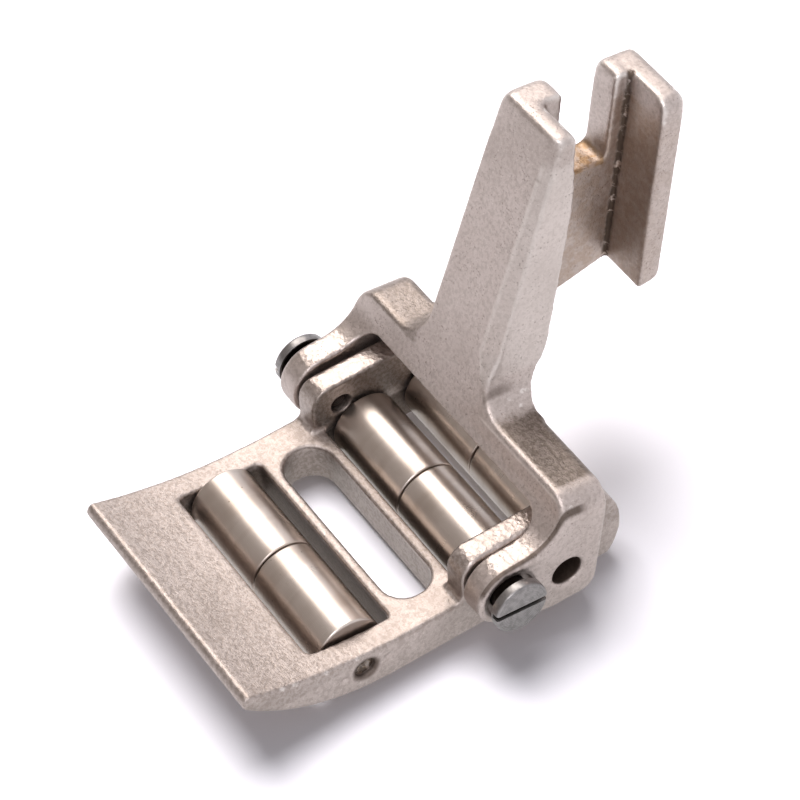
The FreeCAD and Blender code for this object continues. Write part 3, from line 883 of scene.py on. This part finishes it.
class PRESSERFOOT_OT_rollers(bpy.types.Operator):
    """Turn the six hollow rollers with bevelled rims"""
    bl_idname = "presserfoot.rollers"
    bl_label = "Rollers"

    def execute(self, context):
        props = context.scene.presserfoot_rollers
        material = roller_finish(props)
        for row in ROWS:
            axle_low, axle_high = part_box("axle_" + row)
            bore = (axle_high[2] - axle_low[2]) / 2 + BORE_PLAY
            for side in SIDES:
                node = "roller_" + row + "_" + side
                low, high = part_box(node)
                piece = self.turn(low, high, bore, props.rim)
                hand_over(piece, node, material)
        return {"FINISHED"}

    def turn(self, low, high, bore, rim):
        """A tube with both outer rims bevelled."""
        radius = (high[2] - low[2]) / 2
        y, z = middle(low, high)
        piece = x_cylinder(radius, low[0], high[0], y, z, ROLLER_SIDES)
        edit(piece, "FACE", is_end)
        bpy.ops.mesh.inset(thickness=radius - bore, use_individual=True)
        bpy.ops.mesh.bridge_edge_loops()
        edit(piece, "EDGE", lambda edge: self.is_rim(edge, low, high, y, z, radius))
        bpy.ops.mesh.bevel(offset=rim, segments=3, profile=0.6)
        leave_edit()
        soften(piece)
        return piece

    def is_rim(self, edge, low, high, y, z, radius):
        """Whether an edge lies on one of a roller's two outer rims."""
        for vertex in edge.verts:
            out = math.hypot(vertex.co.y - y, vertex.co.z - z)
            at_end = min(abs(vertex.co.x - low[0]), abs(vertex.co.x - high[0])) < SAME_PLACE
            if out < radius * OUTERMOST or not at_end:
                return False
        return True


class PRESSERFOOT_OT_axles(bpy.types.Operator):
    """Make the three staked axles"""
    bl_idname = "presserfoot.axles"
    bl_label = "Axles"

    def execute(self, context):
        props = context.scene.presserfoot_rollers
        material = axle_finish(props)
        for row in ROWS:
            node = "axle_" + row
            low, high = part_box(node)
            radius = (high[2] - low[2]) / 2
            piece = x_cylinder(radius, low[0], high[0], *middle(low, high), AXLE_SIDES)
            edit(piece, "FACE", is_end)
            bpy.ops.mesh.inset(thickness=radius * STAKE_RIM, use_individual=True)
            bpy.ops.mesh.inset(thickness=radius * STAKE_SLOPE, depth=-STAKE_DEPTH, use_individual=True)
            leave_edit()
            soften(piece)
            hand_over(piece, node, material)
        return {"FINISHED"}


class PRESSERFOOT_OT_pivot_screws(bpy.types.Operator):
    """Finish the two slotted pivot screws"""
    bl_idname = "presserfoot.pivot_screws"
    bl_label = "Pivot Screws"

    def execute(self, context):
        props = context.scene.presserfoot_screws
        pivot_y, pivot_z = middle(*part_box("pivot_screw_right"))
        material = screw_finish(props)
        for side, sign in (("left", -1), ("right", 1)):
            node = "pivot_screw_" + side
            low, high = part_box(node)
            piece = self.turn(props, low, high, sign, pivot_y, pivot_z)
            hand_over(piece, node, material)
        return {"FINISHED"}

    def turn(self, props, low, high, sign, y, z):
        """Head, thread and tip turned from one cylinder, then slotted."""
        head_radius = (high[2] - low[2]) / 2
        outer = high[0] if sign > 0 else low[0]
        inner = low[0] if sign > 0 else high[0]
        under = outer - sign * props.head
        step = inner + sign * props.tip_length
        piece = x_cylinder(head_radius, min(under, outer), max(under, outer), y, z, SCREW_SIDES)
        edit(piece, "EDGE", lambda edge: all(abs(v.co.x - outer) < SAME_PLACE for v in edge.verts))
        bpy.ops.mesh.bevel(offset=props.bevel, segments=3)
        leave_edit()
        self.neck_down(piece, -sign, head_radius, props.thread, step - under)
        self.neck_down(piece, -sign, props.thread, props.tip, inner - step)
        pick_none()
        bpy.ops.mesh.primitive_cube_add(
            size=1.0, location=(outer, y, z), rotation=(props.slot_turn, 0, 0),
            scale=(2 * props.slot_depth, 4 * head_radius, props.slot_width))
        blade = bpy.context.object
        settle(blade)
        cut_with(piece, blade)
        apply_modifier(piece, "Slot_Edges", "BEVEL", width=SLOT_BEVEL, segments=2,
                       angle_limit=math.radians(62))
        soften(piece, angle=32.0)
        return piece

    def neck_down(self, piece, facing, radius, smaller, length):
        """Draws the end face that looks this way in to a smaller radius, and out along X."""
        ends = [v.co.x for v in piece.data.vertices]
        end = min(ends) if facing < 0 else max(ends)
        edit(piece, "FACE", lambda face: abs(face.calc_center_median().x - end) < SAME_PLACE
             and face.normal.x * facing > SQUARE_ON)
        bpy.ops.mesh.inset(thickness=radius - smaller)
        bpy.ops.mesh.extrude_region_move(TRANSFORM_OT_translate={"value": (length, 0, 0)})
        leave_edit()


class PRESSERFOOT_OT_studio(bpy.types.Operator):
    """Set up the table, the lamps and the camera"""
    bl_idname = "presserfoot.studio"
    bl_label = "Studio"

    def execute(self, context):
        props = context.scene.presserfoot_studio
        self.table(props)
        self.world(props)
        self.lamps()
        self.camera(context, props)
        context.scene.view_settings.view_transform = "Standard"
        return {"FINISHED"}

    def table(self, props):
        """White paper, which turns plain white far from the foot."""
        pick_none()
        bpy.ops.mesh.primitive_plane_add(size=TABLE_SIZE, location=(0, 0, -TABLE_DROP))
        table = bpy.context.object
        table.name = "table"
        settle(table)
        finish = Finish("table_paper", roughness=0.9, metallic=0.0)
        finish.set(Base_Color=tuple(props.floor) + (1.0,), Specular_IOR_Level=0.0)
        far = from_line(finish.axis("X"), finish.axis("Y")).above(*TABLE_FADE)
        finish.glow(far | props.glow, props.mirrored_glow)
        table.data.materials.append(finish.material)

    def world(self, props):
        """A bright room, weaker on matt surfaces, whose dim side shows in the metal only."""
        world = bpy.data.worlds.new("studio_room")
        bpy.context.scene.world = world
        world.use_nodes = True
        tree = world.node_tree
        background = tree.nodes["Background"]
        toward = tree.nodes.new("ShaderNodeVectorMath")
        toward.operation = "DOT_PRODUCT"
        tree.links.new(tree.nodes.new("ShaderNodeTexCoord").outputs["Generated"], toward.inputs[0])
        toward.inputs[1].default_value = DIM_SIDE
        dim = Socket(tree, toward.outputs["Value"]).above(*DIM_FADE)
        seen, mirrored = seen_and_mirrored(tree)
        color = tree.nodes.new("ShaderNodeMix")
        color.data_type = "RGBA"
        plug(tree, color.inputs[0], dim * mirrored)
        color.inputs[6].default_value = tuple(props.room) + (1.0,)
        color.inputs[7].default_value = tuple(props.dim_room) + (1.0,)
        tree.links.new(color.outputs[2], background.inputs["Color"])
        shown = (mirrored + seen).at_most(1.0)
        plug(tree, background.inputs["Strength"], shown * (1.0 - props.room_light) + props.room_light)

    def lamps(self):
        """A lamp for everything, one that shows only in the metal, and one for matt surfaces only."""
        self.soft_box("key_lamp", (-0.285, 0.105, 0.40), size=0.34, power=1.5, color=(1.0, 0.94, 0.88))
        front = self.soft_box("front_lamp", (0.12, -0.22, 0.46), size=0.30, power=1.0,
                              color=(0.97, 0.97, 1.0))
        front.visible_diffuse = False
        floor = self.soft_box("floor_lamp", (-0.20, 0.05, 0.45), size=0.34, power=3.0,
                              color=(1.0, 0.98, 1.0))
        floor.visible_glossy = False

    def soft_box(self, name, place, size, power, color):
        """A square lamp that looks at the foot, in metres and watts."""
        light = bpy.data.lights.new(name, "AREA")
        light.shape = "SQUARE"
        light.size = size
        light.energy = power
        light.color = color
        lamp = bpy.data.objects.new(name, light)
        bpy.context.scene.collection.objects.link(lamp)
        lamp.location = place
        lamp.rotation_euler = (Vector(LAMP_AIM) - Vector(place)).to_track_quat("-Z", "Y").to_euler()
        return lamp

    def camera(self, context, props):
        data = bpy.data.cameras.new("camera")
        data.lens = props.lens
        data.sensor_width = 36.0
        data.sensor_fit = "HORIZONTAL"
        data.clip_start = 0.01
        data.clip_end = 10.0
        camera = bpy.data.objects.new("camera", data)
        context.scene.collection.objects.link(camera)
        back = Vector((math.sin(props.azimuth) * math.cos(props.elevation),
                       -math.cos(props.azimuth) * math.cos(props.elevation),
                       math.sin(props.elevation)))
        level = Vector((math.cos(props.azimuth), math.sin(props.azimuth), 0.0))
        above = back.cross(level)
        right = level * math.cos(props.roll) + above * math.sin(props.roll)
        up = above * math.cos(props.roll) - level * math.sin(props.roll)
        turn = Matrix((right, up, back)).transposed().to_4x4()
        camera.matrix_world = Matrix.Translation(Vector(props.target) + back * props.distance) @ turn
        context.scene.camera = camera


class PRESSERFOOT_PT_panel(bpy.types.Panel):
    """Lists the presser foot's operators"""
    bl_idname = "PRESSERFOOT_PT_panel"
    bl_label = "Presser Foot"
    bl_space_type = "VIEW_3D"
    bl_region_type = "UI"
    bl_category = "Presser Foot"

    def draw(self, context):
        for operator in OPERATORS:
            self.layout.operator(operator.bl_idname)


OPERATORS = (
    PRESSERFOOT_OT_castings,
    PRESSERFOOT_OT_rollers,
    PRESSERFOOT_OT_axles,
    PRESSERFOOT_OT_pivot_screws,
    PRESSERFOOT_OT_studio,
)
GROUPS = {
    "presserfoot_casting": PresserFootCasting,
    "presserfoot_rollers": PresserFootRollers,
    "presserfoot_screws": PresserFootScrews,
    "presserfoot_studio": PresserFootStudio,
}


def register():
    for name, group in GROUPS.items():
        bpy.utils.register_class(group)
        setattr(bpy.types.Scene, name, bpy.props.PointerProperty(type=group))
    for cls in OPERATORS + (PRESSERFOOT_PT_panel,):
        bpy.utils.register_class(cls)


def unregister():
    for cls in reversed(OPERATORS + (PRESSERFOOT_PT_panel,)):
        bpy.utils.unregister_class(cls)
    for name, group in GROUPS.items():
        delattr(bpy.types.Scene, name)
        bpy.utils.unregister_class(group)


def main():
    register()
    bpy.ops.presserfoot.castings()
    bpy.ops.presserfoot.rollers()
    bpy.ops.presserfoot.axles()
    bpy.ops.presserfoot.pivot_screws()
    bpy.ops.presserfoot.studio()


if __name__ == "__main__":
    main()
